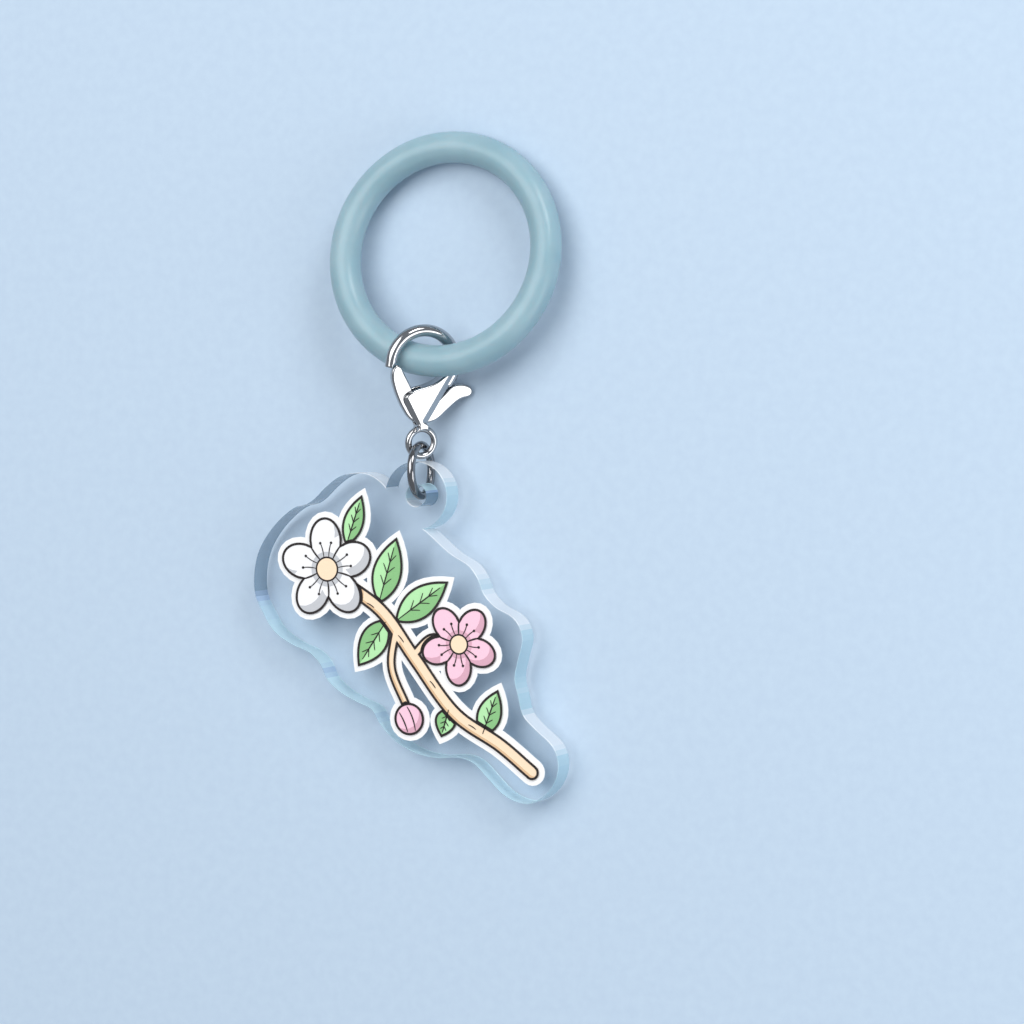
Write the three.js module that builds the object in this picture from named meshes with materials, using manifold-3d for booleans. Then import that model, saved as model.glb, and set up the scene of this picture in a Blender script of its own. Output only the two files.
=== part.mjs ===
// Clear acrylic charm with a printed blossom sprig, hung by a jump ring from a lobster clasp, and the soft
// silicone ring that the clasp's hook holds. Millimetres, +Z up. The charm lies on a flat surface with its
// printed face up: +X is its right-hand side, +Y runs from its tip to the clasp, and the origin is on the
// surface, below the middle of the whole.

import * as THREE from 'three';
import { mergeVertices } from 'three/addons/utils/BufferGeometryUtils.js';
import Module from 'manifold-3d';

const wasm = await Module();
wasm.setup();

// ---- driving dimensions ------------------------------------------------------------------------------

const DEG = Math.PI / 180;

// Acrylic plate. Its own origin is the hole's centre on the underside, +Y towards the clasp.
const PLATE_THICKNESS = 3;
const TAB_RADIUS = 3.7;
const HOLE_RADIUS = 1.2;
const PLATE_OUTLINE = [
  [-3.7, 1.0], [-5.6, 2.3], [-7.4, 2.5], [-9.2, 2.1], [-11.1, 0.8], [-12.3, -0.3], [-13.3, -0.9],
  [-14.6, -1.2], [-16.3, -2.3], [-18.1, -4.1], [-19.4, -6.2], [-20.0, -8.7], [-19.9, -11.0],
  [-19.0, -12.9], [-17.7, -14.9], [-15.4, -16.4], [-13.4, -17.2], [-12.1, -18.4], [-11.2, -20.2],
  [-9.5, -21.6], [-7.5, -22.6], [-5.9, -23.3], [-4.9, -24.9], [-3.2, -26.6], [-0.8, -27.9],
  [1.8, -28.4], [4.5, -28.3], [6.1, -28.8], [8.0, -30.6], [9.6, -32.1], [11.3, -32.9], [12.8, -33.0],
  [14.7, -32.0], [15.9, -30.3], [16.2, -28.5], [15.6, -26.8], [13.5, -24.9], [12.2, -23.5],
  [11.7, -21.5], [11.3, -19.6], [11.8, -17.4], [12.3, -15.4], [11.9, -13.9], [11.0, -12.9],
  [9.1, -11.9], [7.8, -10.5], [7.2, -9.0], [6.2, -7.6], [3.9, -6.2], [0.9, -3.7], [-2.2, -1.7],
];
const PLATE_OUTLINE_STEPS = 190;

// The print: a white base that stands out as a border round the motifs, and the colours on top of it.
const BASE_THICKNESS = 0.12;
const INK_THICKNESS = 0.1;
const LAYER_GAP = 0.03;
const BORDER = 0.7;
const INK_GAP = 0.06;
const FLOWER_EYE = 0.3;
const PETAL_AT = 0.56;
const PETAL_LENGTH = 0.44;
const PETAL_WIDTH = 0.34;
const LEAF_BELLY = 0.42;
const LEAF_TIP_GROWTH = 1.3;

// Jump ring and silicone ring: radius of the centre line, and of the round section.
const JUMP_RING_RADIUS = 2.75;
const JUMP_WIRE_RADIUS = 0.45;
const SILICONE_RADIUS = 11.75;
const SILICONE_SECTION = 1.7;

// Lobster clasp. Its own origin is the eye's centre, +Y runs up to the hook and +Z out of its face.
const EYE_RADIUS = 1.5;
const EYE_WALL = 0.78;
const EYE_DEPTH = 0.8;
const HOOK_RADIUS = 3.68;
const HOOK_CENTRE_Y = 8.54;
const HOOK_WALL = 1.36;
const HOOK_DEPTH = 1.36;
const BODY_DEPTH = 1.9;
const BODY_BEVEL = 0.15;
const RIGHT_SLANT = { from: [0.62, 1.9], to: [3.95, 7.45], width: 1.05, drop: 0.6 };
const LEFT_SLANT = { from: [-2.5, 4.95], to: [-0.85, 1.9], width: 0.4, drop: 0.4 };
const SLANT_REACH = 1.1;
const LEVER_DEPTH = 0.8;
const LEVER_BEVEL = 0.15;
const SLOT_DEPTH = 0.92;
const PIVOT_Y = 3.0;
const PIN_RADIUS = 0.35;
const PIN_SEAT = 0.1;
const LEVER_BORE_RADIUS = 0.42;

// How the pieces lie. The plate's tab is held up by the jump ring under it, so the plate tilts about the
// edge that it rests on; the clasp leans on its thumb tab and rises towards the silicone ring, whose far
// side is down on the surface. The eye sits a little up the jump ring, by CLASP_RISE round it, and a little
// to the right of the ring's plane, by EYE_OFFSET.
const PLATE_REST_EDGE = [0.788, -0.616];
const REST_EDGE_TO_HOLE = 22.92;
const PLATE_TILT = 3.43;
const HOLE_TO_JUMP_RING = 2.6;
const JUMP_RING_TO_EYE = 3.05;
const EYE_OFFSET = 0.1;
const CLASP_RISE = 4.2;
const CLASP_SLOPE = 14.2;
const CLASP_TURN = 44;
const CLASP_LEAN = -7.5;
const HOOK_TO_RING = [0, 9.0];
const SILICONE_TILT = 7.7;
const SILICONE_SIDE_ANGLE = 9;

// ---- solids ------------------------------------------------------------------------------------------

/** Closed mesh to a solid that can be joined and cut. */
function solid(geometry) {
  const bare = new THREE.BufferGeometry();
  bare.setAttribute('position', geometry.getAttribute('position'));
  bare.setIndex(geometry.getIndex());
  const merged = mergeVertices(bare, 1e-5);
  return new wasm.Manifold(new wasm.Mesh({
    numProp: 3,
    vertProperties: new Float32Array(merged.getAttribute('position').array),
    triVerts: new Uint32Array(merged.getIndex().array),
  }));
}

/** Solid back to a geometry. */
function geometryOf(body) {
  const mesh = body.getMesh();
  const geometry = new THREE.BufferGeometry();
  geometry.setAttribute('position', new THREE.BufferAttribute(new Float32Array(mesh.vertProperties), 3));
  geometry.setIndex(new THREE.BufferAttribute(new Uint32Array(mesh.triVerts), 1));
  geometry.computeVertexNormals();
  return geometry;
}

/** Flat slab of an outline, from height z up, with an optional rounded edge inside the outline. */
function slab(shape, z, thickness, bevel = 0, curveSegments = 10) {
  const geometry = new THREE.ExtrudeGeometry(shape, {
    depth: thickness - 2 * bevel,
    bevelEnabled: bevel > 0,
    bevelThickness: bevel,
    bevelSize: bevel,
    bevelOffset: -bevel,
    bevelSegments: 2,
    curveSegments,
  });
  return geometry.translate(0, 0, z + bevel);
}

/** Straight-sided outline through the given points. */
function straightShape(points) {
  return new THREE.Shape(points.map(([x, y]) => new THREE.Vector2(x, y)));
}

/** Closed smooth outline through the given points. */
function smoothShape(points, steps) {
  const through = points.map(([x, y]) => new THREE.Vector3(x, y, 0));
  const loop = new THREE.CatmullRomCurve3(through, true, 'centripetal');
  return new THREE.Shape(loop.getSpacedPoints(steps).slice(0, -1).map((p) => new THREE.Vector2(p.x, p.y)));
}

function discShape(x, y, radius) {
  return new THREE.Shape().absarc(x, y, radius, 0, 2 * Math.PI, false);
}

/** All the given solids joined into one. */
function joined(bodies) {
  return bodies.reduce((whole, body) => whole.add(body));
}

// ---- acrylic plate -----------------------------------------------------------------------------------

function acrylicPlate() {
  const lobes = solid(slab(smoothShape(PLATE_OUTLINE, PLATE_OUTLINE_STEPS), 0, PLATE_THICKNESS));
  const tab = solid(slab(discShape(0, 0, TAB_RADIUS), 0, PLATE_THICKNESS, 0, 24));
  const hole = solid(slab(discShape(0, 0, HOLE_RADIUS), -1, PLATE_THICKNESS + 2, 0, 14));
  return geometryOf(lobes.add(tab).subtract(hole));
}

// ---- print: a blossom sprig --------------------------------------------------------------------------

const WHITE_BLOSSOM = { at: [-10.8, -8.0], radius: 5.6, turn: 20 };
const PINK_BLOSSOM = { at: [4.9, -16.0], radius: 4.5, turn: 52 };
const PINK_BUD = { at: [-1.2, -24.2], radius: 1.7 };
const TWIG = {
  spine: [[-8.5, -9.6], [-4.2, -12.6], [-0.4, -17.6], [4.4, -23.6], [9.6, -26.8], [13.2, -29.6]],
  width: 1.5,
};
const SIDE_TWIGS = [
  { spine: [[-0.6, -17.3], [1.6, -15.4], [3.6, -15.6]], width: 0.9 },
  { spine: [[-2.6, -14.5], [-3.2, -18.6], [-1.5, -22.8]], width: 0.9 },
];
const LEAVES = [
  { root: [-4.6, -11.7], tip: [-2.3, -4.6], width: 3.4 },
  { root: [-2.6, -13.6], tip: [3.7, -9.3], width: 3.3 },
  { root: [3.6, -22.9], tip: [2.6, -26.0], width: 2.4 },
  { root: [7.4, -25.9], tip: [9.4, -20.9], width: 2.8 },
  { root: [-3.6, -13.4], tip: [-7.2, -18.5], width: 3.2 },
  { root: [-8.4, -5.4], tip: [-6.4, 0.0], width: 2.4 },
];

/** Five petals round a centre, each edge moved out by grow. */
function blossom({ at, radius, turn }, grow, z, thickness) {
  const pieces = [solid(slab(discShape(at[0], at[1], radius * FLOWER_EYE + grow), z, thickness))];
  for (let i = 0; i < 5; i++) {
    const angle = (turn + 72 * i) * DEG;
    const x = at[0] + PETAL_AT * radius * Math.cos(angle);
    const y = at[1] + PETAL_AT * radius * Math.sin(angle);
    const long = PETAL_LENGTH * radius + grow;
    const wide = PETAL_WIDTH * radius + grow;
    const petal = new THREE.Shape();
    petal.absellipse(x, y, long, wide, 0, 2 * Math.PI, false, angle);
    pieces.push(solid(slab(petal, z, thickness)));
  }
  return joined(pieces);
}

/** Band of even width along a spine, with round ends. */
function twig({ spine, width }, grow, z, thickness) {
  const curve = new THREE.CatmullRomCurve3(spine.map(([x, y]) => new THREE.Vector3(x, y, 0)));
  const steps = 4 * spine.length;
  const reach = width / 2 + grow;
  const sides = [[], []];
  for (let i = 0; i <= steps; i++) {
    const p = curve.getPointAt(i / steps);
    const t = curve.getTangentAt(i / steps);
    sides[0].push(new THREE.Vector2(p.x + reach * t.y, p.y - reach * t.x));
    sides[1].unshift(new THREE.Vector2(p.x - reach * t.y, p.y + reach * t.x));
  }
  const band = solid(slab(new THREE.Shape(sides.flat()), z, thickness));
  const ends = [spine[0], spine.at(-1)].map(([x, y]) => solid(slab(discShape(x, y, reach), z, thickness)));
  return joined([band, ...ends]);
}

/** Pointed leaf between its root and its tip. */
function leaf({ root, tip, width }, grow, z, thickness) {
  const length = Math.hypot(tip[0] - root[0], tip[1] - root[1]);
  const along = new THREE.Vector2((tip[0] - root[0]) / length, (tip[1] - root[1]) / length);
  const across = new THREE.Vector2(-along.y, along.x);
  const point = (a, b) => [root[0] + along.x * a + across.x * b, root[1] + along.y * a + across.y * b];
  const end = LEAF_TIP_GROWTH * grow;
  const side = width + 2 * grow;
  const shape = new THREE.Shape();
  shape.moveTo(...point(-end, 0));
  shape.quadraticCurveTo(...point(length * LEAF_BELLY, -side), ...point(length + end, 0));
  shape.quadraticCurveTo(...point(length * LEAF_BELLY, side), ...point(-end, 0));
  return solid(slab(shape, z, thickness));
}

function bud({ at, radius }, grow, z, thickness) {
  return solid(slab(discShape(at[0], at[1], radius + grow), z, thickness));
}

function twigs(grow, z, thickness) {
  return joined([TWIG, ...SIDE_TWIGS].map((piece) => twig(piece, grow, z, thickness)));
}

function flowers(grow, z, thickness) {
  return joined([
    blossom(WHITE_BLOSSOM, grow, z, thickness),
    blossom(PINK_BLOSSOM, grow, z, thickness),
    bud(PINK_BUD, grow, z, thickness),
  ]);
}

const BASE_Z = PLATE_THICKNESS + LAYER_GAP;
const INK_Z = BASE_Z + BASE_THICKNESS + LAYER_GAP;

function printBase() {
  const parts = LEAVES.map((piece) => leaf(piece, BORDER, BASE_Z, BASE_THICKNESS));
  parts.push(twigs(BORDER, BASE_Z, BASE_THICKNESS), flowers(BORDER, BASE_Z, BASE_THICKNESS));
  return geometryOf(joined(parts));
}

/** Solid of one colour, cut back from the ones that lie over it. */
function ink(body, over) {
  return geometryOf(over.reduce((left, cutter) => left.subtract(cutter), body));
}

// ---- rings -------------------------------------------------------------------------------------------

function jumpRing() {
  return new THREE.TorusGeometry(JUMP_RING_RADIUS, JUMP_WIRE_RADIUS, 12, 44).rotateY(90 * DEG);
}

function siliconeRing() {
  return new THREE.TorusGeometry(SILICONE_RADIUS, SILICONE_SECTION, 20, 72);
}

// ---- lobster clasp -----------------------------------------------------------------------------------

const BODY_OUTLINE = [
  [-0.95, 1.15], [-0.6, 1.6], [-0.8, 2.05], [-1.4, 2.9], [-1.95, 3.85], [-2.35, 4.65], [-2.15, 5.25],
  [-1.2, 5.85], [0.2, 6.25], [1.25, 6.65], [2.05, 7.2], [2.9, 7.65], [3.9, 7.6], [3.7, 7.0], [2.75, 5.4],
  [1.6, 3.5], [0.95, 2.4], [0.65, 2.0], [0.52, 1.6], [0.85, 1.15],
];
const LEVER_OUTLINE = [
  [-3.22, 8.58], [-3.6, 8.1], [-3.68, 7.2], [-3.42, 6.1], [-2.95, 4.9], [-2.35, 3.75], [-1.6, 2.7],
  [-0.8, 2.2], [0.0, 2.08], [0.85, 2.2], [1.4, 2.38], [2.0, 2.75], [2.75, 3.42], [3.6, 4.15],
  [4.4, 4.68], [5.15, 4.83], [5.6, 5.05], [5.75, 5.45], [5.55, 5.88], [5.0, 6.18], [4.2, 6.3],
  [3.3, 6.12], [2.2, 5.1], [0.9, 4.0], [0.0, 3.9], [-0.75, 4.75], [-1.35, 5.95], [-1.8, 6.8],
  [-2.3, 7.7], [-2.65, 8.4],
];
const SLOT_OUTLINE = [
  [-4.5, 1.97], [4.5, 1.97], [7.0, 5.0], [4.4, 7.0], [2.9, 6.3], [0.9, 4.25], [0.45, 4.25],
  [-0.25, 6.2], [-0.3, 7.4], [-4.5, 7.4],
];
const HOOK_SPINE_START = [-3.72, 8.25];
const HOOK_SPINE_END = [[3.62, 7.85], [3.3, 7.1], [2.75, 6.2]];
const GATE_SEAT = [[-3.76, 7.4], [-3.72, 8.55], [-3.45, 8.8], [-2.9, 8.8], [-2.5, 8.5], [-2.2, 7.4]];

/** Hook: an oval bar bent round most of a circle. */
function hookBar() {
  const spine = [new THREE.Vector3(...HOOK_SPINE_START, 0)];
  for (let angle = 180; angle >= 0; angle -= 15) {
    const x = HOOK_RADIUS * Math.cos(angle * DEG);
    const y = HOOK_CENTRE_Y + HOOK_RADIUS * Math.sin(angle * DEG);
    spine.push(new THREE.Vector3(x, y, 0));
  }
  HOOK_SPINE_END.forEach(([x, y]) => spine.push(new THREE.Vector3(x, y, 0)));
  const section = new THREE.Shape();
  section.absellipse(0, 0, HOOK_DEPTH / 2, HOOK_WALL / 2, 0, 2 * Math.PI, false, 0);
  return solid(new THREE.ExtrudeGeometry(section, {
    extrudePath: new THREE.CatmullRomCurve3(spine),
    steps: 44,
    curveSegments: 7,
  }));
}

/** Eye: an oval bar bent into a small ring. */
function eyeRing() {
  const section = new THREE.Shape().absellipse(EYE_RADIUS, 0, EYE_WALL / 2, EYE_DEPTH / 2, 0, 2 * Math.PI);
  return solid(new THREE.LatheGeometry(section.getPoints(6), 28).rotateX(90 * DEG));
}

function pivotPin(radius, depth) {
  return solid(slab(discShape(0, PIVOT_Y, radius), -depth / 2, depth));
}

/**
 * Wedges that cut a slant into both faces of the body along one of its sides. The outside is on the right of
 * the way from the side's first end to its other.
 */
function sideSlants({ from, to, width, drop }) {
  const along = new THREE.Vector3(from[0] - to[0], from[1] - to[1], 0);
  const up = new THREE.Vector3(0, 0, 1);
  const outwards = new THREE.Vector3().crossVectors(up, along).normalize();
  const place = new THREE.Matrix4().makeBasis(outwards, up, along.clone().normalize());
  place.setPosition(to[0], to[1], 0);
  const slope = drop / width;
  return [1, -1].map((face) => {
    const at = (across, z) => [across, face * (BODY_DEPTH / 2 + z)];
    const high = SLANT_REACH * slope;
    const wedge = straightShape([
      at(-width - SLANT_REACH, high), at(SLANT_REACH, -drop - high), at(SLANT_REACH, high),
    ]);
    return solid(slab(wedge, 0, along.length()).applyMatrix4(place));
  });
}

function claspBody() {
  const plain = slab(smoothShape(BODY_OUTLINE, 60), -BODY_DEPTH / 2, BODY_DEPTH, BODY_BEVEL);
  const slants = [RIGHT_SLANT, LEFT_SLANT].flatMap(sideSlants);
  const cheeks = slants.reduce((left, slant) => left.subtract(slant), solid(plain));
  const slot = solid(slab(straightShape(SLOT_OUTLINE), -SLOT_DEPTH / 2, SLOT_DEPTH));
  const seat = solid(slab(straightShape(GATE_SEAT), -HOOK_DEPTH, 2 * HOOK_DEPTH));
  const eyeHole = solid(slab(discShape(0, 0, EYE_RADIUS), -BODY_DEPTH, 2 * BODY_DEPTH, 0, 14));
  const hook = hookBar().subtract(seat);
  const shell = joined([cheeks.subtract(eyeHole), hook]).subtract(slot);
  return geometryOf(joined([shell, eyeRing(), pivotPin(PIN_RADIUS, SLOT_DEPTH + 2 * PIN_SEAT)]));
}

function claspLever() {
  const blade = solid(slab(smoothShape(LEVER_OUTLINE, 84), -LEVER_DEPTH / 2, LEVER_DEPTH, LEVER_BEVEL));
  return geometryOf(blade.subtract(pivotPin(LEVER_BORE_RADIUS, 2 * LEVER_DEPTH)));
}

// ---- finishes ----------------------------------------------------------------------------------------

function finish(color, roughness, metalness, opacity = 1) {
  return new THREE.MeshStandardMaterial({ color, roughness, metalness, opacity, transparent: opacity < 1 });
}

const CLEAR_ACRYLIC = finish(0xcfe6f2, 0.05, 0, 0.35);
const POLISHED_STEEL = finish(0xd6d8da, 0.12, 1);
const TEAL_SILICONE = finish(0xa3c4cf, 0.45, 0, 0.8);
const WHITE_INK = finish(0xfbfbfa, 0.4, 0);
const PETAL_WHITE_INK = finish(0xe9e9ea, 0.4, 0);
const PINK_INK = finish(0xffcfe6, 0.4, 0);
const GREEN_INK = finish(0xb9f0af, 0.4, 0);
const TWIG_INK = finish(0xfde3c4, 0.4, 0);

function piece(name, geometry, material) {
  const mesh = new THREE.Mesh(geometry, material);
  mesh.name = name;
  return mesh;
}

// ---- charm: the plate and its print ------------------------------------------------------------------

const inkLayer = [INK_Z, INK_THICKNESS];
const flowerRoom = flowers(INK_GAP, ...inkLayer);
const twigRoom = twigs(INK_GAP, ...inkLayer);

const charm = new THREE.Group();
charm.add(
  piece('acrylic_plate', acrylicPlate(), CLEAR_ACRYLIC),
  piece('print_base', printBase(), WHITE_INK),
  piece('print_white_blossom', geometryOf(blossom(WHITE_BLOSSOM, 0, ...inkLayer)), PETAL_WHITE_INK),
  piece('print_pink_blossom', geometryOf(blossom(PINK_BLOSSOM, 0, ...inkLayer)), PINK_INK),
  piece('print_bud', geometryOf(bud(PINK_BUD, 0, ...inkLayer)), PINK_INK),
  piece('print_twig', ink(twigs(0, ...inkLayer), [flowerRoom]), TWIG_INK),
);
LEAVES.forEach((each, i) => {
  const blade = ink(leaf(each, 0, ...inkLayer), [flowerRoom, twigRoom]);
  charm.add(piece(`print_leaf_${i + 1}`, blade, GREEN_INK));
});
charm.quaternion.setFromAxisAngle(new THREE.Vector3(...PLATE_REST_EDGE, 0).normalize(), PLATE_TILT * DEG);
charm.position.set(0, -HOLE_TO_JUMP_RING, REST_EDGE_TO_HOLE * Math.sin(PLATE_TILT * DEG));

// ---- jump ring, clasp and silicone ring --------------------------------------------------------------

const jumpRingHeight = JUMP_RING_RADIUS + JUMP_WIRE_RADIUS;
const link = piece('jump_ring', jumpRing(), POLISHED_STEEL);
link.position.set(0, 0, jumpRingHeight);

const clasp = new THREE.Group();
clasp.add(
  piece('clasp_body', claspBody(), POLISHED_STEEL),
  piece('clasp_lever', claspLever(), POLISHED_STEEL),
);
clasp.rotation.set(CLASP_SLOPE * DEG, CLASP_TURN * DEG, CLASP_LEAN * DEG);
clasp.position.set(0, JUMP_RING_TO_EYE, 0).applyAxisAngle(new THREE.Vector3(1, 0, 0), CLASP_RISE * DEG);
clasp.position.add(new THREE.Vector3(EYE_OFFSET, 0, jumpRingHeight));
clasp.updateMatrixWorld();

// The silicone ring's round section passes through the hook; its centre is a little to the right of it.
const throughHook = clasp.localToWorld(new THREE.Vector3(...HOOK_TO_RING, 0));
const silicone = piece('silicone_ring', siliconeRing(), TEAL_SILICONE);
silicone.rotation.set(-SILICONE_TILT * DEG, 0, 0);
const side = SILICONE_SIDE_ANGLE * DEG;
const toCentre = new THREE.Vector3(Math.sin(side), Math.cos(side), 0).multiplyScalar(SILICONE_RADIUS);
silicone.position.copy(throughHook).add(toCentre.applyEuler(silicone.rotation));

// ---- the whole, with the origin on the surface below its middle --------------------------------------

const whole = new THREE.Group();
whole.add(charm, link, clasp, silicone);
const box = new THREE.Box3().setFromObject(whole, true);
whole.position.set(-(box.min.x + box.max.x) / 2, -(box.min.y + box.max.y) / 2, -box.min.z);

export default whole;
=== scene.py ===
import math

import bmesh
import bpy
from mathutils import Euler, Matrix, Vector


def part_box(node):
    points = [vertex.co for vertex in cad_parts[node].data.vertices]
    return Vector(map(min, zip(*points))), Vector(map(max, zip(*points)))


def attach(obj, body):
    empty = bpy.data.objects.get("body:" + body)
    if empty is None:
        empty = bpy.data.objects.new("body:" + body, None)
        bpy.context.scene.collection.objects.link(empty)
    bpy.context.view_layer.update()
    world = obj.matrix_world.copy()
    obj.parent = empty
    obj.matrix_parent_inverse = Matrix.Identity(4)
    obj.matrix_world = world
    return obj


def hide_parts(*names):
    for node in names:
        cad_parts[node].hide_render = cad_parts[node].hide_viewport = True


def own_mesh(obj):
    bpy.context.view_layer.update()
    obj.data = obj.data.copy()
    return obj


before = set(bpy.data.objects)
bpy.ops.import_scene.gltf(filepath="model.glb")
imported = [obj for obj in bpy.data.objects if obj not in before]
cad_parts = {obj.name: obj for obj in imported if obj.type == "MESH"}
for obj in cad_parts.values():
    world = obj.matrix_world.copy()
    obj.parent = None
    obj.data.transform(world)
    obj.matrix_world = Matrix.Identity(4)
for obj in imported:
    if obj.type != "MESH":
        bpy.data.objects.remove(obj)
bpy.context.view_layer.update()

# ---- sizes, in millimetres, and frames of the pieces ----------------------------------------------

MM = 0.001

# Acrylic plate. Its tab is held up by the jump ring under it, so it tilts about the edge that it rests on.
PLATE_THICKNESS = 3.0
PLATE_TILT = math.radians(3.43)
PLATE_REST_EDGE = Vector((0.788, -0.616, 0.0))
REST_EDGE_TO_HOLE = 22.92
HOLE_TO_JUMP_RING = 2.6
PLATE_CHAMFER = 0.06
PLATE_FLAT_TURN = math.radians(1)
PLATE_RIM_TURN = math.radians(80)
FACE_UP = 0.9
EDGE_WAY = "edge_way"

# Jump ring and silicone ring: radius of the centre line, and of the round section.
JUMP_RING_RADIUS = 2.75
JUMP_WIRE_RADIUS = 0.45
JUMP_RING_CUT = math.radians(0.8)
JUMP_RING_CUT_AT = math.radians(150)
SILICONE_RADIUS = 11.75
SILICONE_SECTION = 1.7
SILICONE_TILT = math.radians(-7.7)
SILICONE_SEAM = 0.035

# Lobster clasp. Its frame is at the eye's centre: a step along from the jump ring's, slightly up and right.
JUMP_RING_TO_EYE = 3.05
EYE_OFFSET = 0.1
CLASP_RISE = math.radians(4.2)
CLASP_SLOPE = math.radians(14.2)
CLASP_TURN = math.radians(44)
CLASP_LEAN = math.radians(-7.5)
CASTING_VOXEL = 0.055
CASTING_PASSES = 24

# Layers of the print, above the plate's underside, from the solids' inks to the pen lines.
INK_TOP = PLATE_THICKNESS + 0.28
INK_HALFWAY = INK_TOP - 0.05
SHADE_BOTTOM = INK_TOP + 0.005
RING_BOTTOM = SHADE_BOTTOM + 0.012
CENTRE_BOTTOM = SHADE_BOTTOM + 0.022
SHADE_THICKNESS = 0.008
LINE_BOTTOM = INK_TOP + 0.016
LINE_THICKNESS = 0.03

# Points nearer to each other than this are one point.
SAME_POINT = 0.001


def middle(node):
    """Middle of a CAD node's box, in millimetres."""
    low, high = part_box(node)
    return (low + high) / 2 / MM


def placed(position, rotation):
    """Matrix from a piece's own frame, in millimetres, to the whole's, in metres."""
    return Matrix.Scale(MM, 4) @ Matrix.Translation(position) @ rotation


jump_centre = middle("jump_ring")
hole_height = jump_centre.z - JUMP_RING_RADIUS - JUMP_WIRE_RADIUS + REST_EDGE_TO_HOLE * math.sin(PLATE_TILT)
eye_centre = jump_centre + Vector(
    (EYE_OFFSET, JUMP_RING_TO_EYE * math.cos(CLASP_RISE), JUMP_RING_TO_EYE * math.sin(CLASP_RISE))
)
plate_frame = placed(
    Vector((jump_centre.x, jump_centre.y - HOLE_TO_JUMP_RING, hole_height)),
    Matrix.Rotation(PLATE_TILT, 4, PLATE_REST_EDGE.normalized()),
)
jump_frame = placed(jump_centre, Matrix.Rotation(math.radians(90), 4, "Y"))
clasp_frame = placed(eye_centre, Euler((CLASP_SLOPE, CLASP_TURN, CLASP_LEAN), "ZYX").to_matrix().to_4x4())
silicone_frame = placed(middle("silicone_ring"), Matrix.Rotation(SILICONE_TILT, 4, "X"))

# ---- making pieces --------------------------------------------------------------------------------


def piece(name, bm, place, material, body, smooth_below=30):
    """A finished mesh piece from a bmesh in its own frame. Turns past smooth_below degrees stay crisp."""
    bmesh.ops.transform(bm, matrix=place, verts=bm.verts)
    bmesh.ops.recalc_face_normals(bm, faces=bm.faces)
    limit = math.radians(smooth_below)
    for face in bm.faces:
        face.smooth = True
    for edge in bm.edges:
        edge.smooth = len(edge.link_faces) == 2 and edge.calc_face_angle(0) <= limit
    mesh = bpy.data.meshes.new(name)
    bm.to_mesh(mesh)
    bm.free()
    mesh.materials.append(material)
    made = bpy.data.objects.new(name, mesh)
    bpy.context.scene.collection.objects.link(made)
    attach(made, body)
    return made


def working_object(bm):
    """An object to work on for a moment, from a bmesh that is then done with."""
    mesh = bpy.data.meshes.new("work")
    bm.to_mesh(mesh)
    bm.free()
    made = bpy.data.objects.new("work", mesh)
    bpy.context.scene.collection.objects.link(made)
    return made


def put_away(made):
    """Takes a working object and its mesh out of the scene."""
    mesh = made.data
    bpy.data.objects.remove(made)
    bpy.data.meshes.remove(mesh)


def merged_copy(node, to_own_frame):
    """Bmesh of a CAD node in its own frame, with its loose triangles merged."""
    bm = bmesh.new()
    bm.from_mesh(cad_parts[node].data)
    bmesh.ops.transform(bm, matrix=to_own_frame, verts=bm.verts)
    bmesh.ops.remove_doubles(bm, verts=bm.verts, dist=SAME_POINT)
    return bm


def through_modifiers(bm, *modifiers):
    """A new bmesh of the given one after live modifiers, given as (type, settings) pairs."""
    work = working_object(bm)
    for kind, settings in modifiers:
        modifier = work.modifiers.new(kind, kind)
        for setting, value in settings.items():
            setattr(modifier, setting, value)
    evaluated = work.evaluated_get(bpy.context.evaluated_depsgraph_get())
    result = bmesh.new()
    result.from_mesh(evaluated.to_mesh())
    evaluated.to_mesh_clear()
    put_away(work)
    return result


def add_to(bm, more):
    """Adds one bmesh's form to another."""
    work = working_object(more)
    bm.from_mesh(work.data)
    put_away(work)


def raise_sheet(bm, thickness):
    """Gives flat faces their thickness, upwards."""
    up = bmesh.ops.extrude_face_region(bm, geom=bm.faces[:])["geom"]
    lifted = [v for v in up if isinstance(v, bmesh.types.BMVert)]
    bmesh.ops.translate(bm, verts=lifted, vec=(0, 0, thickness))


# ---- materials ------------------------------------------------------------------------------------


def srgb(red, green, blue):
    """Linear colour, with alpha 1, of a display colour from 0 to 255."""
    parts = [c / 255 for c in (red, green, blue)]
    return (*[c / 12.92 if c <= 0.04045 else ((c + 0.055) / 1.055) ** 2.4 for c in parts], 1.0)


def grey(value):
    """A grey, given linear, with alpha 1."""
    return (value, value, value, 1.0)


def new_material(name, **sockets):
    """A material with a Principled shader; returns the material, its node tree and the shader."""
    material = bpy.data.materials.new(name)
    material.use_nodes = True
    tree = material.node_tree
    shader = tree.nodes["Principled BSDF"]
    for socket, value in sockets.items():
        shader.inputs[socket.replace("_", " ")].default_value = value
    return material, tree, shader


def object_noise(tree, scale, detail=3.0, stretch=(1, 1, 1), turn=(0, 0, 0)):
    """Noise in Object coordinates; scale is in waves to a metre."""
    coordinates = tree.nodes.new("ShaderNodeTexCoord")
    mapping = tree.nodes.new("ShaderNodeMapping")
    mapping.inputs["Scale"].default_value = stretch
    mapping.inputs["Rotation"].default_value = turn
    noise = tree.nodes.new("ShaderNodeTexNoise")
    noise.inputs["Scale"].default_value = scale
    noise.inputs["Detail"].default_value = detail
    tree.links.new(coordinates.outputs["Object"], mapping.inputs["Vector"])
    tree.links.new(mapping.outputs["Vector"], noise.inputs["Vector"])
    return noise.outputs["Fac"]


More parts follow.
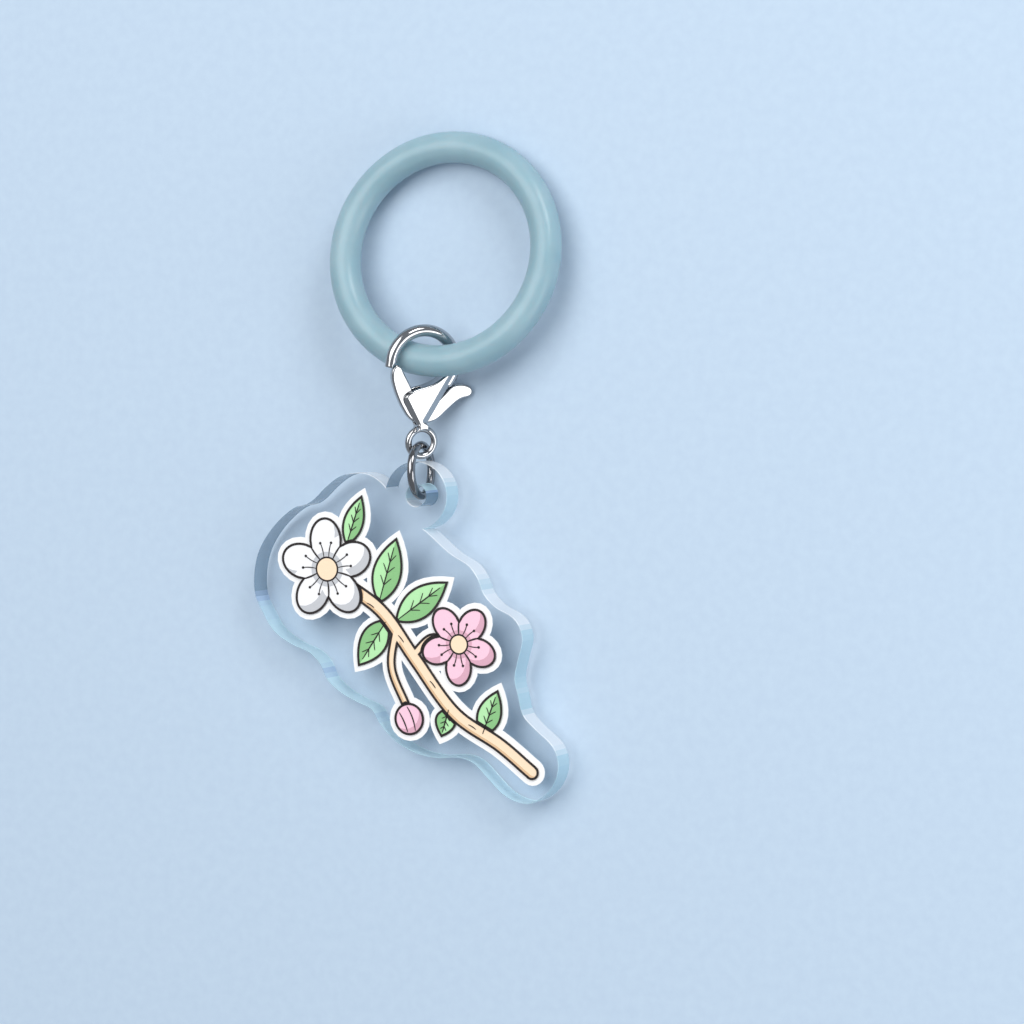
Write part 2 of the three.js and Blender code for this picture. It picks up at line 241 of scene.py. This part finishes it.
def ramp(tree, factor, low, high, start=0.3, end=0.7):
    """Colour or grey that goes from low to high as the factor goes from start to end."""
    node = tree.nodes.new("ShaderNodeValToRGB")
    node.color_ramp.elements[0].position = start
    node.color_ramp.elements[0].color = low
    node.color_ramp.elements[1].position = end
    node.color_ramp.elements[1].color = high
    tree.links.new(factor, node.inputs["Fac"])
    return node.outputs["Color"]


def calculated(tree, operation, value, *numbers):
    """Result of a Math node on a linked value and set numbers."""
    node = tree.nodes.new("ShaderNodeMath")
    node.operation = operation
    tree.links.new(value, node.inputs[0])
    for i, number in enumerate(numbers, 1):
        node.inputs[i].default_value = number
    return node.outputs["Value"]


def add_bump(tree, shader, height, distance, strength):
    """Fine relief on a shader, its distance in metres."""
    bump = tree.nodes.new("ShaderNodeBump")
    bump.inputs["Distance"].default_value = distance
    bump.inputs["Strength"].default_value = strength
    tree.links.new(height, bump.inputs["Height"])
    tree.links.new(bump.outputs["Normal"], shader.inputs["Normal"])


def ink_material(name, colour, darker):
    """Printed ink: a smooth colour with a fine grain, a little gloss and hardly any relief."""
    material, tree, shader = new_material(name, Roughness=0.42, Specular_IOR_Level=0.35)
    grain = ramp(tree, object_noise(tree, 9000, detail=4), darker, colour, start=0.3, end=0.55)
    tree.links.new(grain, shader.inputs["Base Color"])
    add_bump(tree, shader, object_noise(tree, 5000, detail=2), distance=0.000004, strength=0.4)
    return material


# Gloss of the polished faces: its share straight on, what a grazing slant adds, and how late that comes in.
FACE_GLOSS = 0.01
SLANT_GLOSS = 0.6
SLANT_POWER = 5.0


def acrylic_face_material():
    """Polished face of clear acrylic: a slight blue tint, and gloss that grows at a slant."""
    material = bpy.data.materials.new("clear_acrylic")
    material.use_nodes = True
    tree = material.node_tree
    tree.nodes.remove(tree.nodes["Principled BSDF"])
    clear = tree.nodes.new("ShaderNodeBsdfTransparent")
    clear.inputs["Color"].default_value = (0.997, 0.999, 1.0, 1)
    gloss = tree.nodes.new("ShaderNodeBsdfGlossy")
    smears = ramp(tree, object_noise(tree, 160, detail=4), grey(0.03), grey(0.08), start=0.45, end=0.8)
    tree.links.new(smears, gloss.inputs["Roughness"])
    slant = tree.nodes.new("ShaderNodeLayerWeight")
    slant.inputs["Blend"].default_value = 0.5
    steep = calculated(tree, "POWER", slant.outputs["Facing"], SLANT_POWER)
    share = calculated(tree, "MULTIPLY_ADD", steep, SLANT_GLOSS, FACE_GLOSS)
    mix = tree.nodes.new("ShaderNodeMixShader")
    tree.links.new(share, mix.inputs["Fac"])
    tree.links.new(clear.outputs["BSDF"], mix.inputs[1])
    tree.links.new(gloss.outputs["BSDF"], mix.inputs[2])
    tree.links.new(mix.outputs["Shader"], tree.nodes["Material Output"].inputs["Surface"])
    return material


# Painted light and shade on the teal cut edge, by the way that it faces, in degrees from the plate's right:
# near-white facing the upper right, dark teal facing up and to the left, pale teal facing down and to the
# left.
EDGE_TEAL_AND_PAINTED_LIGHT = (
    (12, (178, 214, 228)),
    (34, (238, 242, 246)),
    (92, (236, 241, 246)),
    (110, (112, 148, 172)),
    (186, (106, 142, 168)),
    (198, (168, 196, 236)),
    (212, (210, 245, 255)),
    (285, (212, 246, 255)),
    (300, (172, 210, 226)),
)


def acrylic_edge_material():
    """Laser-cut edge of clear acrylic: teal, with painted light and shade that follow its turns, and faint
    upright ripples.
    """
    material, tree, shader = new_material("acrylic_edge", Roughness=0.22, IOR=1.49, Alpha=0.72)
    way = tree.nodes.new("ShaderNodeAttribute")
    way.attribute_name = EDGE_WAY
    # This ramp paints light and shade into the edge's teal by the way that each face turns.
    tint = tree.nodes.new("ShaderNodeValToRGB")
    stops = tint.color_ramp.elements
    for degrees, colour in EDGE_TEAL_AND_PAINTED_LIGHT:
        stops.new(degrees / 360).color = srgb(*colour)
    stops.remove(stops[0])
    stops.remove(stops[-1])
    tree.links.new(way.outputs["Fac"], tint.inputs["Fac"])
    tree.links.new(tint.outputs["Color"], shader.inputs["Base Color"])
    ripples = object_noise(tree, 900, detail=2, stretch=(1, 1, 0.03))
    add_bump(tree, shader, ripples, distance=0.00002, strength=0.3)
    return material


def metal_material(name, colour, dull):
    """Polished plating with faint wipe marks, up to about twice as dull."""
    material, tree, shader = new_material(name, Base_Color=colour, Metallic=1.0)
    marks = object_noise(tree, 2600, stretch=(1, 0.25, 1), turn=(0.4, 0.2, 0.7))
    wiped = ramp(tree, marks, grey(dull), grey(dull * 2.2), start=0.4, end=0.75)
    tree.links.new(wiped, shader.inputs["Roughness"])
    add_bump(tree, shader, object_noise(tree, 900, detail=2), distance=0.000012, strength=0.25)
    return material


def silicone_material():
    """Soft, milky teal silicone: light goes some way into it, and its skin is satin."""
    material, tree, shader = new_material(
        "teal_silicone",
        Roughness=0.3,
        Subsurface_Weight=0.55,
        Subsurface_Radius=(0.4, 0.9, 1.0),
        Subsurface_Scale=0.002,
        Transmission_Weight=0.2,
        IOR=1.41,
    )
    cloud = ramp(tree, object_noise(tree, 240), srgb(154, 187, 198), srgb(168, 197, 207))
    tree.links.new(cloud, shader.inputs["Base Color"])
    add_bump(tree, shader, object_noise(tree, 5200), distance=0.000012, strength=0.35)
    return material


acrylic_face = acrylic_face_material()
acrylic_edge = acrylic_edge_material()
bright_metal = metal_material("polished_plating", (0.46, 0.465, 0.475, 1), 0.05)
dark_metal = metal_material("jump_ring_plating", (0.28, 0.28, 0.29, 1), 0.07)
silicone = silicone_material()
white_ink = ink_material("white_ink", srgb(252, 252, 252), srgb(246, 247, 248))
petal_white = ink_material("petal_white_ink", srgb(249, 249, 250), srgb(244, 244, 246))
petal_grey = ink_material("petal_grey_ink", srgb(200, 202, 206), srgb(194, 196, 200))
pink = ink_material("pink_ink", srgb(252, 206, 224), srgb(248, 200, 219))
deep_pink = ink_material("deep_pink_ink", srgb(222, 172, 190), srgb(216, 166, 184))
green = ink_material("green_ink", srgb(184, 236, 176), srgb(178, 231, 170))
deep_green = ink_material("deep_green_ink", srgb(140, 196, 132), srgb(134, 190, 126))
cream = ink_material("twig_ink", srgb(254, 228, 196), srgb(250, 222, 190))
deep_cream = ink_material("deep_twig_ink", srgb(228, 192, 152), srgb(222, 186, 146))
line_ink = ink_material("line_ink", srgb(34, 26, 26), srgb(26, 20, 20))

# ---- acrylic plate --------------------------------------------------------------------------------


def acrylic_plate():
    """The lobed plate, its rims just broken, with its cut edge apart from its polished faces."""
    bm = merged_copy("acrylic_plate", plate_frame.inverted())
    bmesh.ops.dissolve_limit(bm, angle_limit=PLATE_FLAT_TURN, verts=bm.verts, edges=bm.edges)
    rims = [e for e in bm.edges if e.calc_face_angle(0) > PLATE_RIM_TURN]
    bmesh.ops.bevel(
        bm, geom=rims, offset=PLATE_CHAMFER, affect="EDGES", segments=1, profile=0.5, material=-1
    )
    bmesh.ops.triangulate(bm, faces=[f for f in bm.faces if len(f.verts) > 4])
    # Each face's facing angle, which the edge material turns into painted light and shade.
    way = bm.faces.layers.float.new(EDGE_WAY)
    for face in bm.faces:
        face.material_index = int(abs(face.normal.z) < FACE_UP)
        face[way] = math.atan2(face.normal.y, face.normal.x) / (2 * math.pi) % 1
    made = piece("charm_plate", bm, plate_frame, acrylic_face, "charm")
    made.data.materials.append(acrylic_edge)
    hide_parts("acrylic_plate")


# ---- rings ----------------------------------------------------------------------------------------


def section_place(radius):
    """Place of a ring's section, square to its centre line."""
    return Matrix.Translation((radius, 0, 0)) @ Matrix.Rotation(math.radians(90), 4, "X")


def jump_ring():
    """Round wire, with the fine cut where its ends meet."""
    bm = bmesh.new()
    turn = 2 * math.pi - JUMP_RING_CUT
    bmesh.ops.create_circle(
        bm, cap_ends=True, segments=32, radius=JUMP_WIRE_RADIUS, matrix=section_place(JUMP_RING_RADIUS)
    )
    bmesh.ops.rotate(bm, verts=bm.verts, matrix=Matrix.Rotation(JUMP_RING_CUT_AT, 3, "Z"))
    end = bmesh.ops.duplicate(bm, geom=bm.verts[:] + bm.edges[:] + bm.faces[:])["geom"]
    end_verts = [g for g in end if isinstance(g, bmesh.types.BMVert)]
    bmesh.ops.rotate(bm, verts=end_verts, matrix=Matrix.Rotation(turn, 3, "Z"))
    start_edges = [e for e in bm.edges if e not in set(end)]
    bmesh.ops.spin(bm, geom=start_edges, axis=(0, 0, 1), cent=(0, 0, 0), angle=turn, steps=140)
    bmesh.ops.remove_doubles(bm, verts=bm.verts, dist=SAME_POINT)
    made = piece("jump_ring_wire", bm, jump_frame, dark_metal, "link", smooth_below=40)
    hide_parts("jump_ring")


def silicone_ring():
    """Round soft ring with the fine seam of its mould round the outside."""
    bm = bmesh.new()
    bmesh.ops.create_circle(
        bm, segments=64, radius=SILICONE_SECTION, matrix=section_place(SILICONE_RADIUS)
    )
    outermost = max(bm.verts, key=lambda v: v.co.x)
    outermost.co.x += SILICONE_SEAM
    bmesh.ops.spin(
        bm, geom=bm.edges[:], axis=(0, 0, 1), cent=(0, 0, 0), angle=2 * math.pi, steps=220, use_merge=True
    )
    made = piece("silicone_loop", bm, silicone_frame, silicone, "loop", smooth_below=180)
    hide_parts("silicone_ring")
    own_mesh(made)


# ---- lobster clasp --------------------------------------------------------------------------------


def polished_casting(node, name, body):
    """The CAD node's form with the small roundings of a cast and tumbled piece."""
    bm = through_modifiers(
        merged_copy(node, clasp_frame.inverted()),
        ("REMESH", {"mode": "VOXEL", "voxel_size": CASTING_VOXEL}),
        ("SMOOTH", {"factor": 0.5, "iterations": CASTING_PASSES}),
    )
    made = piece(name, bm, clasp_frame, bright_metal, body, smooth_below=180)
    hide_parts(node)


# ---- print: the sprig's motifs, as in the solids --------------------------------------------------

WHITE_BLOSSOM = {"at": (-10.8, -8.0), "radius": 5.6, "turn": 20}
PINK_BLOSSOM = {"at": (4.9, -16.0), "radius": 4.5, "turn": 52}
BUD = {"at": (-1.2, -24.2), "radius": 1.7}

# Root, tip and width of each leaf.
LEAVES = (
    ((-4.6, -11.7), (-2.3, -4.6), 3.4),
    ((-2.6, -13.6), (3.7, -9.3), 3.3),
    ((3.6, -22.9), (2.6, -26.0), 2.4),
    ((7.4, -25.9), (9.4, -20.9), 2.8),
    ((-3.6, -13.4), (-7.2, -18.5), 3.2),
    ((-8.4, -5.4), (-6.4, 0.0), 2.4),
)
LEAF_NODES = [f"print_leaf_{i + 1}" for i in range(len(LEAVES))]
MOTIF_NODES = ["print_white_blossom", "print_pink_blossom", "print_bud", "print_twig", *LEAF_NODES]

# ---- print: darker tones --------------------------------------------------------------------------

# How far the cover moves that leaves a motif's darker side showing.
WHITE_BLOSSOM_LIGHT = (-0.75, 0.85)
PINK_BLOSSOM_LIGHT = (-0.65, 0.75)
BUD_LIGHT = (-0.5, 0.6)
TWIG_LIGHT = (0.28, 0.33)
COVER_REACH = 0.1

# Radii of a blossom's centre and of the tone round it, as shares of the blossom's own.
CENTRE = 0.23
CENTRE_RING = 0.34


def flat_motif(node, low, high, shift=(0, 0)):
    """A printed motif's form in the plate's frame, between two heights."""
    bm = merged_copy(node, plate_frame.inverted())
    for vert in bm.verts:
        vert.co.z = high if vert.co.z > INK_HALFWAY else low
    bmesh.ops.translate(bm, verts=bm.verts, vec=(*shift, 0))
    return bm


def side_tone(node, light):
    """The darker tone along one side of a motif: what a copy moved towards the light leaves uncovered."""
    cover = working_object(flat_motif(node, SHADE_BOTTOM - COVER_REACH, SHADE_BOTTOM + COVER_REACH, light))
    tone = through_modifiers(
        flat_motif(node, SHADE_BOTTOM, SHADE_BOTTOM + SHADE_THICKNESS),
        ("BOOLEAN", {"object": cover, "operation": "DIFFERENCE", "solver": "MANIFOLD"}),
    )
    put_away(cover)
    return tone


def half_tone(node, root, tip):
    """The darker half of a leaf, on the right of its midrib."""
    bm = flat_motif(node, SHADE_BOTTOM, SHADE_BOTTOM + SHADE_THICKNESS)
    along = (Vector(tip) - Vector(root)).normalized()
    bmesh.ops.bisect_plane(
        bm,
        geom=bm.verts[:] + bm.edges[:] + bm.faces[:],
        plane_co=(*root, 0),
        plane_no=(-along.y, along.x, 0),
        clear_outer=True,
    )
    bmesh.ops.holes_fill(bm, edges=[e for e in bm.edges if e.is_boundary])
    bmesh.ops.remove_doubles(bm, verts=bm.verts, dist=SAME_POINT)
    return bm


def disc(bm, at, radius, height):
    """A flat printed disc."""
    one = bmesh.new()
    place = Matrix.Translation((*at, height))
    bmesh.ops.create_circle(one, cap_ends=True, segments=48, radius=radius, matrix=place)
    raise_sheet(one, SHADE_THICKNESS)
    add_to(bm, one)


def print_tones():
    """The darker tones over the inks, and the cream centres of the blossoms."""
    grey_tones, pink_tones, cream_tones, green_tones, centres = (bmesh.new() for _ in range(5))
    add_to(grey_tones, side_tone("print_white_blossom", WHITE_BLOSSOM_LIGHT))
    add_to(pink_tones, side_tone("print_pink_blossom", PINK_BLOSSOM_LIGHT))
    add_to(pink_tones, side_tone("print_bud", BUD_LIGHT))
    add_to(cream_tones, side_tone("print_twig", TWIG_LIGHT))
    for node, (root, tip, _) in zip(LEAF_NODES, LEAVES):
        add_to(green_tones, half_tone(node, root, tip))
    for tones, blossom in ((grey_tones, WHITE_BLOSSOM), (pink_tones, PINK_BLOSSOM)):
        disc(tones, blossom["at"], CENTRE_RING * blossom["radius"], RING_BOTTOM)
        disc(centres, blossom["at"], CENTRE * blossom["radius"], CENTRE_BOTTOM)

    piece("print_grey_tones", grey_tones, plate_frame, petal_grey, "charm")
    piece("print_pink_tones", pink_tones, plate_frame, deep_pink, "charm")
    piece("print_cream_tones", cream_tones, plate_frame, deep_cream, "charm")
    piece("print_green_tones", green_tones, plate_frame, deep_green, "charm")
    piece("print_centres", centres, plate_frame, cream, "charm")


# ---- print: pen lines -----------------------------------------------------------------------------

# Widths of the pen lines, and how far the outline's middle lies inside a motif's rim.
OUTLINE_WIDTH = 0.26
OUTLINE_INSET = 0.05
LINE_WIDTH = 0.19
FOLD_WIDTH = 0.8 * LINE_WIDTH
FINE_WIDTH = 0.6 * LINE_WIDTH
VEIN_WIDTH = 0.55 * LINE_WIDTH

# An open line starts and ends at a share of its width, and swells in between by a power of a sine. A mitre
# has a limit at sharp turns, and a closed line's ends meet within a small gap.
LINE_END = 0.35
LINE_SWELL = 0.7
SHARPEST_MITRE = 0.6
CLOSED_LINE_GAP = 0.0002

# Outlines run round the faces that are level with the ink's top, apart from loops below a smallest area in
# square millimetres. A soft turn is drawn as a curve, and a sharper one stays a corner.
LEVEL = 0.02
SMALLEST_LOOP = 0.3
SOFT_TURN = math.radians(25)

# A blossom's lines, as shares of its radius and in degrees. Seams run from its centre to between the petals,
# and two stamens stand on each petal. A stamen's tip is a dot, its radius in millimetres.
PETALS = 5
LINE_BEND = 0.4
SEAM_END = 0.58
SEAM_BOW = 4
STAMEN_END = 0.524
STAMEN_LEAN = 13
STAMEN_BEND_LEAN = 0.7 * STAMEN_LEAN
STAMEN_TIP = 0.15

# A leaf's lines, as shares of its length: the midrib's points, and how far a vein slants and bows. Each vein
# has its start along the midrib, and its reach to the side as a share of the leaf's width.
MIDRIB = (0.06, 0.5, 0.86)
VEIN_SLANT = 0.13
VEIN_BOW = 0.012
VEINS = ((0.28, 0.2), (0.46, 0.21), (0.63, 0.15))

# Folds of the bud: where they start, bend and end, in degrees round its middle and as shares of its radius.
BUD_FOLDS = ((150, 200, 262), (100, 20, 300))
BUD_FOLD_AT = (0.8, 0.35, 0.85)

# Marks on the twig's bark: middle, and the way that each runs in degrees.
TWIG_MARKS = (((-5.6, -11.9), -30), ((-2.0, -15.5), -50), ((1.7, -20.4), -50), ((6.3, -24.9), -30))
MARK_REACH = 0.5
MARK_BOW = 0.08


def around(at, radius, degrees):
    """The point at a radius and an angle round another point."""
    angle = math.radians(degrees)
    return (at[0] + radius * math.cos(angle), at[1] + radius * math.sin(angle))


def arc(start, bend, end, steps=9):
    """Points of a smooth curve from start to end that is drawn towards bend."""
    start, bend, end = (Vector((*p, 0)) for p in (start, bend, end))
    return [start.lerp(bend, t).lerp(bend.lerp(end, t), t) for t in (i / steps for i in range(steps + 1))]


def pen_line(bm, points, width, closed=False, inwards=0.0):
    """A flat line through points, out of a strip of quads. An open line thins out at both ends."""
    points = [Vector((p[0], p[1], LINE_BOTTOM)) for p in points]
    count = len(points)
    spans = count if closed else count - 1
    strip = bmesh.new()
    bmesh.ops.create_grid(strip, x_segments=1, y_segments=spans, size=0.5)
    for vert in strip.verts:
        i = round((vert.co.y + 0.5) * spans) % count
        point = points[i]
        ways = [(point - points[i - 1]).normalized()] if closed or i else []
        ways += [(points[(i + 1) % count] - point).normalized()] if closed or i + 1 < count else []
        along = sum(ways, Vector()).normalized()
        across = Vector((-along.y, along.x, 0)) / max(SHARPEST_MITRE, along.dot(ways[0]))
        swell = math.sin(math.pi * (i + 0.5) / count) ** LINE_SWELL
        share = 1 if closed else LINE_END + (1 - LINE_END) * swell
        vert.co = point + across * (inwards + vert.co.x * width * share)
    bmesh.ops.remove_doubles(strip, verts=strip.verts, dist=CLOSED_LINE_GAP)
    add_to(bm, strip)


def walk_loops(edges):
    """Closed chains of boundary edges, each as a list of its points in order."""
    left = set(edges)
    loops = []
    while left:
        edge = left.pop()
        first, vert = edge.verts
        chain = [first.co.copy()]
        while vert is not first:
            chain.append(vert.co.copy())
            edge = next(e for e in vert.link_edges if e in left)
            left.remove(edge)
            vert = edge.other_vert(vert)
        loops.append(chain)
    return loops


def refined(loop):
    """A closed chain with a point added in each span: on the four-point curve where its turns are soft."""
    count = len(loop)
    fine = []
    for i, point in enumerate(loop):
        after, second = loop[(i + 1) % count], loop[(i + 2) % count]
        before = loop[i - 1]
        turn_here = (point - before).angle(after - point)
        turn_after = (after - point).angle(second - after)
        fine.append(point)
        if max(turn_here, turn_after) < SOFT_TURN:
            fine.append((point + after) * 9 / 16 - (before + second) / 16)
        else:
            fine.append((point + after) / 2)
    return fine


def motif_outline(bm, node):
    """The dark line round a printed motif."""
    top = merged_copy(node, plate_frame.inverted())
    lower = [f for f in top.faces if any(abs(v.co.z - INK_TOP) > LEVEL for v in f.verts)]
    bmesh.ops.delete(top, geom=lower, context="FACES")
    for loop in walk_loops([e for e in top.edges if e.is_boundary]):
        area = sum(loop[i - 1].x * p.y - p.x * loop[i - 1].y for i, p in enumerate(loop)) / 2
        if abs(area) > SMALLEST_LOOP:
            inwards = math.copysign(OUTLINE_INSET, area)
            pen_line(bm, refined(loop), OUTLINE_WIDTH, closed=True, inwards=inwards)
    top.free()


def blossom_lines(bm, at, radius, turn):
    """Pen lines of a blossom: between its petals, round its centre, and its stamens."""
    for i in range(PETALS):
        petal = turn + 360 / PETALS * i
        seam = petal + 180 / PETALS
        bend = around(at, LINE_BEND * radius, seam + SEAM_BOW)
        line = arc(around(at, CENTRE * radius, seam), bend, around(at, SEAM_END * radius, seam))
        pen_line(bm, line, LINE_WIDTH)
        for side in (-1, 1):
            lean = petal + side * STAMEN_LEAN
            tip = around(at, STAMEN_END * radius, lean)
            bend = around(at, LINE_BEND * radius, petal + side * STAMEN_BEND_LEAN)
            pen_line(bm, arc(around(at, CENTRE * radius, lean), bend, tip, steps=5), FINE_WIDTH)
            place = Matrix.Translation((*tip, LINE_BOTTOM))
            bmesh.ops.create_circle(bm, cap_ends=True, segments=12, radius=STAMEN_TIP, matrix=place)
    centre = [around(at, CENTRE * radius, degrees) for degrees in range(0, 360, 8)]
    pen_line(bm, centre, LINE_WIDTH, closed=True)


def leaf_lines(bm, root, tip, width):
    """Midrib and side veins of a leaf."""
    root, tip = Vector(root), Vector(tip)
    along = tip - root
    across = Vector((-along.y, along.x)).normalized()
    pen_line(bm, arc(*(root + along * share for share in MIDRIB)), FOLD_WIDTH)
    for share, reach in VEINS:
        for side in (-1, 1):
            start = root + along * share
            end = start + along * VEIN_SLANT + across * side * width * reach
            pen_line(bm, arc(start, start.lerp(end, 0.5) + along * VEIN_BOW, end, steps=5), VEIN_WIDTH)


def print_lines():
    """The dark pen lines on top of the print, in one piece."""
    lines = bmesh.new()
    for blossom in (WHITE_BLOSSOM, PINK_BLOSSOM):
        blossom_lines(lines, **blossom)
    for leaf in LEAVES:
        leaf_lines(lines, *leaf)
    for fold in BUD_FOLDS:
        points = (around(BUD["at"], BUD["radius"] * r, angle) for r, angle in zip(BUD_FOLD_AT, fold))
        pen_line(lines, arc(*points), FOLD_WIDTH)
    for at, turn in TWIG_MARKS:
        ends = (around(at, MARK_REACH, turn + 180), around(at, MARK_REACH, turn))
        pen_line(lines, arc(ends[0], around(at, MARK_BOW, turn + 90), ends[1]), FINE_WIDTH)
    for node in MOTIF_NODES:
        motif_outline(lines, node)
    raise_sheet(lines, LINE_THICKNESS)
    piece("print_lines", lines, plate_frame, line_ink, "charm")


def print_inks():
    """The inks of the solids' own layers."""
    inks = {
        "print_base": white_ink,
        "print_white_blossom": petal_white,
        "print_pink_blossom": pink,
        "print_bud": pink,
        "print_twig": cream,
        **{node: green for node in LEAF_NODES},
    }
    for node, ink in inks.items():
        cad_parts[node].data.materials.clear()
        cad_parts[node].data.materials.append(ink)


print_inks()
print_tones()
print_lines()
acrylic_plate()
jump_ring()
silicone_ring()
polished_casting("clasp_body", "clasp_shell", "clasp")
polished_casting("clasp_lever", "clasp_gate", "lever")

# ---- floor, light and camera, in metres -----------------------------------------------------------

FLOOR_SIZE = 6.0
CLASP_SPOT = (0.002, 0.006, 0.005)


def floor():
    """The plain pale surface that the charm lies on."""
    bm = bmesh.new()
    bmesh.ops.create_grid(bm, x_segments=2, y_segments=2, size=FLOOR_SIZE / 2)
    mesh = bpy.data.meshes.new("floor")
    bm.to_mesh(mesh)
    bm.free()
    material, tree, shader = new_material("pale_floor", Roughness=0.85)
    speckle = ramp(tree, object_noise(tree, 900, detail=2), srgb(186, 205, 224), srgb(190, 209, 227))
    tree.links.new(speckle, shader.inputs["Base Color"])
    mesh.materials.append(material)
    made = bpy.data.objects.new("floor", mesh)
    bpy.context.scene.collection.objects.link(made)


def square_light(name, position, target, size, power, colour=(1, 1, 1)):
    """A soft square lamp, its power in watts, aimed at a target."""
    lamp = bpy.data.lights.new(name, "AREA")
    lamp.shape = "SQUARE"
    lamp.size = size
    lamp.energy = power
    lamp.color = colour
    made = bpy.data.objects.new(name, lamp)
    made.location = position
    made.rotation_euler = (Vector(target) - Vector(position)).to_track_quat("-Z", "Y").to_euler()
    bpy.context.scene.collection.objects.link(made)


def studio():
    """Floor, three soft lamps and an even pale surround. The side card is for the clasp's flats."""
    floor()
    square_light("overhead", (-0.12, 0.20, 0.61), (0, 0, 0), size=0.56, power=3.2, colour=(1.0, 0.99, 0.98))
    square_light("edge_light", (0.34, 0.36, 0.30), (0, 0, 0), size=0.22, power=1.2)
    square_light("side_card", (0.31, -0.10, 0.125), CLASP_SPOT, size=0.16, power=0.26)
    world = bpy.data.worlds.new("studio")
    world.use_nodes = True
    world.node_tree.nodes["Background"].inputs["Color"].default_value = (0.80, 0.86, 0.94, 1)
    world.node_tree.nodes["Background"].inputs["Strength"].default_value = 0.37
    bpy.context.scene.world = world
    bpy.context.scene.view_settings.view_transform = "Standard"


# The view is turned to the charm's right. The tab's hole, on the printed face, sits at a given spot of the
# picture, which is 1024 pixels wide and high.
PICTURE = 1024
MM_PER_PIXEL = 0.108
HOLE_IN_PICTURE = (416.0, 495.7)
VIEW_TURN = math.radians(22)
VIEW_DISTANCE = 0.4
SENSOR_WIDTH = 36.0
NEAREST_SEEN = 0.01


def camera():
    """The camera, looking down on the printed face."""
    towards = Vector((math.sin(VIEW_TURN), 0, math.cos(VIEW_TURN)))
    right = Vector((math.cos(VIEW_TURN), 0, -math.sin(VIEW_TURN)))
    up = Vector((0, 1, 0))
    hole = plate_frame @ Vector((0, 0, PLATE_THICKNESS))
    across = (PICTURE / 2 - HOLE_IN_PICTURE[0]) * MM_PER_PIXEL * MM
    down = (PICTURE / 2 - HOLE_IN_PICTURE[1]) * MM_PER_PIXEL * MM
    target = hole + across * right - down * up
    lens = bpy.data.cameras.new("camera")
    lens.sensor_width = SENSOR_WIDTH
    lens.lens = VIEW_DISTANCE / (MM_PER_PIXEL * MM * PICTURE) * SENSOR_WIDTH
    lens.clip_start = NEAREST_SEEN
    made = bpy.data.objects.new("camera", lens)
    axes = Matrix((right, up, towards)).transposed().to_4x4()
    made.matrix_world = Matrix.Translation(target + VIEW_DISTANCE * towards) @ axes
    bpy.context.scene.collection.objects.link(made)
    bpy.context.scene.camera = made


studio()
camera()
